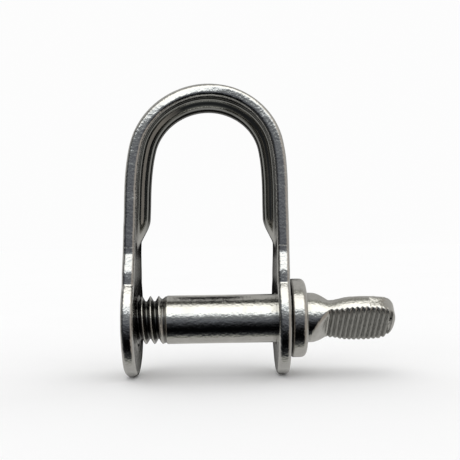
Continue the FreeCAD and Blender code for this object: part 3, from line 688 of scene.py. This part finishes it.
def steel(name, edge_mask, thread_mask, rib_mask):
    mat = bpy.data.materials.new(name)
    mat.use_nodes = True
    N = Nodes(mat.node_tree)
    coord = N.n("ShaderNodeTexCoord").outputs["Object"]
    coarse = N.noise(coord, 900.0, 3.0, 0.5)
    mid = N.noise(coord, 3200.0, 4.0, 0.6)
    fine = N.noise(coord, 9000.0, 4.0, 0.65)
    stretch = N.n("ShaderNodeMapping")
    N.link(coord, stretch.inputs["Vector"])
    stretch.inputs["Scale"].default_value = (1.0, 5.0, 5.0)
    scratch = N.noise(stretch.outputs["Vector"], 2400.0, 5.0, 0.7)
    edge = N.attr("edge") if edge_mask else 0.0
    thr = N.attr("thread") if thread_mask else 0.0
    rib = N.attr("rib") if rib_mask else 0.0

    base = N.mix(N.remap(coarse, 0.35, 0.7, 0.0, 1.0),
                 (0.66, 0.655, 0.63, 1), (0.58, 0.575, 0.55, 1))
    base = N.mix(N.remap(mid, 0.55, 0.75, 0.0, 0.45), base,
                 (0.47, 0.46, 0.44, 1))
    rough = N.remap(fine, 0.3, 0.75, 0.04, 0.10)
    rough = N.math("ADD", rough, N.remap(coarse, 0.4, 0.75, 0.0, 0.03))
    if edge_mask:
        rough = N.math("ADD", rough, N.math("MULTIPLY", edge,
                                            N.remap(mid, 0.35, 0.65, 0.0,
                                                    0.06)))
        base = N.mix(N.math("MULTIPLY", edge, 0.35), base,
                     (0.56, 0.56, 0.57, 1))
        # painted shade: the inside of the bow gets a darker base colour,
        # standing in for the dark reflections it catches there
        base = N.mix(N.math("MULTIPLY", N.attr("inner"), 0.85), base,
                     (0.26, 0.265, 0.255, 1))
    if thread_mask:
        rough = N.math("ADD", rough, N.math("MULTIPLY", thr, 0.06))
        # painted shade: the thread valleys, the threaded hole and the grooves of
        # the head get a near-black base colour
        base = N.mix(N.math("MULTIPLY", thr, 0.85), base,
                     (0.085, 0.085, 0.08, 1))
    if rib_mask:
        rough = N.math("ADD", rough, N.math("MULTIPLY", rib, 0.34))
        base = N.mix(N.math("MULTIPLY", rib, 0.55), base,
                     (0.42, 0.42, 0.40, 1))
    # painted shade: ambient occlusion darkens the base colour in crevices and
    # where the parts meet
    ao = N.n("ShaderNodeAmbientOcclusion", samples=8, only_local=False)
    ao.inputs["Distance"].default_value = 0.0009
    dark = N.remap(ao.outputs["AO"], 0.22, 0.78, 0.34, 1.0)
    scale = N.n("ShaderNodeVectorMath", operation="SCALE")
    N.link(base, scale.inputs[0])
    N.link(dark, scale.inputs["Scale"])

    # grain of the tumbled surface: pits and peaks about 0.2 mm across, with
    # finer tooth on top; heights here are in hundredths of a millimetre
    grain = N.noise(coord, 4300.0, 2.5, 0.55)
    height = N.math("MULTIPLY", grain, 1.25 if rib_mask else 0.42)
    height = N.math("ADD", height, N.math("MULTIPLY", fine, 0.2))
    height = N.math("ADD", height, N.math("MULTIPLY", scratch, 0.2))
    if edge_mask:
        run = N.math("MULTIPLY", N.attr("run"), 100.0)
        depth = N.attr("depth")
        vec = N.n("ShaderNodeCombineXYZ")
        N.link(N.math("MULTIPLY", run, 5.2), vec.inputs[0])
        N.link(N.math("MULTIPLY", depth, 1.1), vec.inputs[1])
        N.link(N.math("MULTIPLY", edge, 2.0), vec.inputs[2])
        shear = N.noise(vec.outputs[0], 1.0, 3.0, 0.6)
        vec2 = N.n("ShaderNodeCombineXYZ")
        N.link(N.math("MULTIPLY", run, 1.5), vec2.inputs[0])
        N.link(N.math("MULTIPLY", depth, 2.2), vec2.inputs[1])
        patch = N.noise(vec2.outputs[0], 1.0, 2.0, 0.5)
        height = N.math("ADD", height, N.math("MULTIPLY", edge, N.math(
            "ADD", N.math("MULTIPLY", shear, 0.42),
            N.math("ADD", N.math("MULTIPLY", patch, 0.9),
                   N.math("MULTIPLY", grain, 1.3)))))
    if rib_mask:
        height = N.math("ADD", height, N.math(
            "MULTIPLY", rib, N.math("MULTIPLY", fine, 1.2)))
        height = N.math("MULTIPLY", height, N.math(
            "SUBTRACT", 1.0, N.math("MULTIPLY", thr, 0.6)))
    if edge_mask:
        height = N.math("MULTIPLY", height, N.math(
            "SUBTRACT", 1.0, N.math("MULTIPLY", N.attr("inner"), 0.75)))
        height = N.math("MULTIPLY", height, N.math(
            "SUBTRACT", 1.0, N.math("MULTIPLY", edge, 0.22)))
    bump = N.n("ShaderNodeBump")
    bump.inputs["Strength"].default_value = 1.0
    bump.inputs["Distance"].default_value = 0.000022
    N.link(height, bump.inputs["Height"])

    p = N.n("ShaderNodeBsdfPrincipled")
    p.inputs["Metallic"].default_value = 1.0
    N.link(scale.outputs["Vector"], p.inputs["Base Color"])
    N.link(rough, p.inputs["Roughness"])
    N.link(bump.outputs["Normal"], p.inputs["Normal"])
    out = N.n("ShaderNodeOutputMaterial")
    N.link(p.outputs["BSDF"], out.inputs["Surface"])
    return mat


strip_mat = steel("strip_steel", True, True, False)
pin_mat = steel("pin_steel", False, True, True)
body_ob.data.materials.append(strip_mat)
pin_ob.data.materials.append(pin_mat)

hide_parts("shackle_body")
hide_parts("screw_pin")
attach(body_ob, "shackle")
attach(pin_ob, "pin")


# ====================================================================== stage
def build_floor():
    """a pale sheet that stays level under the part"""
    m = bpy.data.meshes.new("floor")
    z = -4.62 * MM
    rings, seg = [0.0, 0.03, 0.08, 0.2, 0.6, 1.8], 96
    v = [(0, 0, z)]
    for r in rings[1:]:
        for i in range(seg):
            a = TAU * i / seg
            v.append((r * math.cos(a), r * math.sin(a), z))
    f = [(0, 1 + i, 1 + (i + 1) % seg) for i in range(seg)]
    for k in range(len(rings) - 2):
        o, p = 1 + k * seg, 1 + (k + 1) * seg
        for i in range(seg):
            j = (i + 1) % seg
            f.append((o + i, p + i, p + j, o + j))
    m.from_pydata(v, [], f)
    m.update()
    ob = bpy.data.objects.new("floor", m)
    bpy.context.scene.collection.objects.link(ob)
    mat = bpy.data.materials.new("floor_pale")
    mat.use_nodes = True
    N = Nodes(mat.node_tree)
    co = N.n("ShaderNodeTexCoord").outputs["Object"]
    p = N.n("ShaderNodeBsdfPrincipled")
    N.link(N.mix(N.noise(co, 60.0, 3.0), (0.93, 0.93, 0.93, 1),
                 (0.95, 0.95, 0.95, 1)), p.inputs["Base Color"])
    p.inputs["Roughness"].default_value = 0.9
    p.inputs["Specular IOR Level"].default_value = 0.0
    out = N.n("ShaderNodeOutputMaterial")
    N.link(p.outputs["BSDF"], out.inputs["Surface"])
    m.materials.append(mat)
    ob.visible_glossy = False
    return ob


build_floor()


def build_card():
    """pale sheet standing close behind the part, as the table it is laid on;
    only the metal's reflections see it, its glow darkened by a painted shadow of
    the part along the bow"""
    m = bpy.data.meshes.new("rear_card")
    n, half = 24, 0.12
    g = np.linspace(-half, half, n)
    v = [(x + 0.004, 0.00475, z + 0.007) for z in g for x in g]
    f = [(j * n + i, j * n + i + 1, (j + 1) * n + i + 1, (j + 1) * n + i)
         for j in range(n - 1) for i in range(n - 1)]
    m.from_pydata(v, [], f)
    m.update()
    ob = bpy.data.objects.new("rear_card", m)
    bpy.context.scene.collection.objects.link(ob)
    mat = bpy.data.materials.new("card_pale")
    mat.use_nodes = True
    N = Nodes(mat.node_tree)
    pos = N.n("ShaderNodeNewGeometry").outputs["Position"]
    sep = N.n("ShaderNodeSeparateXYZ")
    N.link(pos, sep.inputs[0])
    px = N.math("MULTIPLY", sep.outputs[0], 1000.0)
    pz = N.math("MULTIPLY", sep.outputs[2], 1000.0)
    ax = N.math("ABSOLUTE", N.math("SUBTRACT", px, 0.2))

    def away(cx, cz):
        a = N.math("SUBTRACT", ax, cx)
        b = N.math("SUBTRACT", pz, cz)
        return N.math("SQRT", N.math("ADD", N.math("MULTIPLY", a, a),
                                     N.math("MULTIPLY", b, b)))

    crown = N.math("SUBTRACT", R_IN, away(0.0, Z_C))
    shoulder = N.math("SUBTRACT", R_SH, away(-OFF, Z_S))
    leg = N.math("SUBTRACT", HALF_IN, ax)
    up = N.math("SUBTRACT", N.math("SUBTRACT", pz, Z_C),
                N.math("MULTIPLY", ax, math.tan(JUNCTION)))
    is_crown = N.math("GREATER_THAN", up, 0.0)
    is_leg = N.math("LESS_THAN", pz, Z_S)
    lower = N.math("ADD", N.math("MULTIPLY", is_leg, leg),
                   N.math("MULTIPLY", N.math("SUBTRACT", 1.0, is_leg),
                          shoulder))
    inside = N.math("ADD", N.math("MULTIPLY", is_crown, crown),
                    N.math("MULTIPLY", N.math("SUBTRACT", 1.0, is_crown),
                           lower))
    # painted shadow: the card's glow is darkest along the bow's inside outline
    # and brightens with distance from it, with painted light added at the lug
    # heights above and below the pin
    near = N.math("ABSOLUTE", N.math("ADD", inside, 0.5))
    e = N.n("ShaderNodeEmission")
    low = N.math("MULTIPLY", N.remap(pz, 4.8, 6.8, 1.7, 0.0), N.math(
        "ADD", N.remap(pz, 1.2, 3.4, 0.0, 1.0),
        N.remap(pz, -2.6, -1.0, 1.0, 0.0)))
    near = N.math("ADD", near, low)
    glow = N.remap(near, 2.15, 3.4, 0.006, 0.34)
    far = N.remap(near, 3.6, 6.5, 0.0, 0.30)
    inc = N.n("ShaderNodeSeparateXYZ")
    N.link(N.n("ShaderNodeNewGeometry").outputs["Incoming"], inc.inputs[0])
    straight = N.remap(N.math("ABSOLUTE", inc.outputs[1]), .80, .92, 0.0, 1.0)
    # painted shade: the window of the bow itself stays dark for slanting rays
    window = N.math("MULTIPLY", N.remap(inside, 1.9, 3.0, 0.0, 1.0),
                    N.remap(pz, 5.0, 8.0, 0.0, 1.0))
    plain = N.math("MULTIPLY", N.math("SUBTRACT", 1.0, straight),
                   N.remap(window, 0.0, 1.0, 0.5, 0.012))
    N.link(N.math("ADD", plain, N.math("MULTIPLY", straight, N.math(
        "ADD", glow, far))), e.inputs["Strength"])
    e.inputs["Color"].default_value = (1.0, 0.985, 0.95, 1)
    out = N.n("ShaderNodeOutputMaterial")
    N.link(e.outputs[0], out.inputs["Surface"])
    m.materials.append(mat)
    mat.cycles.emission_sampling = "NONE"
    ob.visible_camera = False
    ob.visible_diffuse = False
    ob.visible_shadow = False
    ob.visible_transmission = False


build_card()


def build_world():
    """soft studio: pale surroundings for the eye and the floor; in the metal,
    a large soft light above the camera, a dark room below it and a pale
    sheet behind the part, held to the camera as on a turntable set-up"""
    w = bpy.data.worlds.new("studio")
    bpy.context.scene.world = w
    w.cycles.sampling_method = "NONE"
    w.use_nodes = True
    N = Nodes(w.node_tree)
    cam = N.n("ShaderNodeTexCoord").outputs["Camera"]
    sep = N.n("ShaderNodeSeparateXYZ")
    N.link(cam, sep.inputs[0])
    x, y, z = sep.outputs
    phi = N.math("ARCTAN2", y, N.math("MULTIPLY", z, -1.0))
    t = N.math("ADD", N.math("MULTIPLY", phi, 0.5 / math.pi), 0.5)
    ramp = N.n("ShaderNodeValToRGB")
    N.link(t, ramp.inputs["Fac"])
    warm, cool, olive, blue = ((1.0, .985, .93), (.95, 1.0, 1.03),
                               (1.0, 1.0, .9), (.93, .98, 1.1))
    stops = [(-180, .62, warm), (-125, .62, warm), (-106, .60, olive),
             (-91, .43, olive), (-78, .077, cool), (-66, .011, blue),
             (-55, .002, blue), (-35, .002, blue), (-25.6, .014, blue),
             (-16, .042, blue), (-7, .13, blue), (2.5, .175, blue),
             (12, .25, cool), (19, .34, cool), (23, .7, cool),
             (27, 1.6, cool), (40, 1.9, warm), (66, 1.8, warm),
             (74, 1.3, warm), (80, .42, olive), (85, .33, olive),
             (95, .2, olive), (103, .05, olive), (109, .02, cool),
             (116, .06, olive), (126, .35, olive), (150, .6, warm),
             (180, .62, warm)]
    el = ramp.color_ramp.elements
    while len(el) > 1:
        el.remove(el[-1])
    for i, (deg, g, c) in enumerate(stops):
        pos = (deg + 1.0 * (abs(deg) < 179) + 180) / 360.0
        e = el[0] if i == 0 else el.new(pos)
        e.position = pos
        e.color = (g * c[0] / 2.4, g * c[1] / 2.4, g * c[2] / 2.4, 1)
    # towards the sides: a beige wall on the right, a dark room on the left
    norm = N.n("ShaderNodeVectorMath", operation="NORMALIZE")
    N.link(cam, norm.inputs[0])
    sep2 = N.n("ShaderNodeSeparateXYZ")
    N.link(norm.outputs[0], sep2.inputs[0])
    right = N.remap(sep2.outputs[0], .42, .74, 0.0, .9)
    left = N.remap(sep2.outputs[0], -.72, -.40, .92, 0.0)
    scale = N.n("ShaderNodeVectorMath", operation="SCALE")
    N.link(ramp.outputs["Color"], scale.inputs[0])
    scale.inputs["Scale"].default_value = 2.4
    lit = N.mix(right, scale.outputs[0], (.46, .42, .38, 1))
    lit = N.mix(left, lit, (.035, .037, .04, 1))
    lp = N.n("ShaderNodeLightPath")
    # glossy rays see the set-up; everything else sees an even pale surround
    sel = lp.outputs["Is Glossy Ray"]
    even = N.remap(lp.outputs["Is Camera Ray"], 0.0, 1.0, 1.045, 0.977)
    bg1 = N.n("ShaderNodeBackground")
    bg1.inputs["Color"].default_value = (1.0, 1.0, 1.0, 1)
    N.link(even, bg1.inputs["Strength"])
    bg2 = N.n("ShaderNodeBackground")
    N.link(lit, bg2.inputs["Color"])
    mix = N.n("ShaderNodeMixShader")
    N.link(sel, mix.inputs[0])
    N.link(bg1.outputs[0], mix.inputs[1])
    N.link(bg2.outputs[0], mix.inputs[2])
    out = N.n("ShaderNodeOutputWorld")
    N.link(mix.outputs[0], out.inputs["Surface"])


build_world()

# camera at the photographed angle
cam = bpy.data.cameras.new("camera")
cam.lens = 61.7
cam.sensor_width = 36.0
cam.clip_start = 0.002
cam.clip_end = 10.0
cam_ob = bpy.data.objects.new("camera", cam)
bpy.context.scene.collection.objects.link(cam_ob)
eye = Vector((1.19, -65.7, 6.31)) * MM
aim = Vector((2.08, 0.0, 7.38)) * MM
rot = (aim - eye).to_track_quat("-Z", "Y")
rot = rot @ Quaternion((0, 0, 1), math.radians(-0.9))
cam_ob.location = eye
cam_ob.rotation_mode = "QUATERNION"
cam_ob.rotation_quaternion = rot
bpy.context.scene.camera = cam_ob

sc = bpy.context.scene
sc.view_settings.view_transform = "Standard"
sc.view_settings.look = "None"
